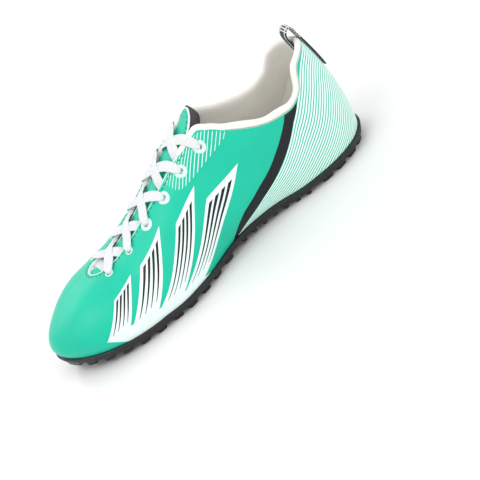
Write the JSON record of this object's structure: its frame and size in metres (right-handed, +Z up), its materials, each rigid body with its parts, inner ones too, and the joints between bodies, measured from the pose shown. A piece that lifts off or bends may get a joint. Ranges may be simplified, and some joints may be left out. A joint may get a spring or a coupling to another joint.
{
  "type": "right turf trainer shoe",
  "caption": "Low-cut lace-up turf trainer in teal with a dark collar band, cream lining, white laces and a black studded rubber sole.",
  "frame": {"origin": "on the floor under the middle of the shoe's bounding box", "axes": "+X from heel to toe, +Y towards the inner (medial) side of the right foot, +Z up from the floor"},
  "size_m": [0.2854, 0.1008, 0.1033],
  "materials": {
    "rubber_sole": "matt moulded rubber",
    "insole_board": "foam board with a fabric face",
    "shell": "coated synthetic leather, fine grain, half gloss",
    "tongue_shell": "padded synthetic leather, half gloss",
    "lining": "brushed suede-like lining",
    "webbing": "ribbed woven webbing",
    "lace_cord": "flat woven lace",
    "eyelet_ring": "smooth pale reinforcing ring"
  },
  "bodies": {
    "root": {"outsole": "rubber_sole", "insole": "insole_board", "upper": "shell", "tongue": "tongue_shell", "collar_lining": "lining", "heel_pull_loop": "webbing", "lace": "lace_cord", "eyelet_medial_1": "eyelet_ring", "eyelet_medial_2": "eyelet_ring", "eyelet_medial_3": "eyelet_ring", "eyelet_medial_4": "eyelet_ring", "eyelet_medial_5": "eyelet_ring", "eyelet_medial_6": "eyelet_ring", "eyelet_lateral_1": "eyelet_ring", "eyelet_lateral_2": "eyelet_ring", "eyelet_lateral_3": "eyelet_ring", "eyelet_lateral_4": "eyelet_ring", "eyelet_lateral_5": "eyelet_ring", "eyelet_lateral_6": "eyelet_ring"}
  },
  "joints": []
}
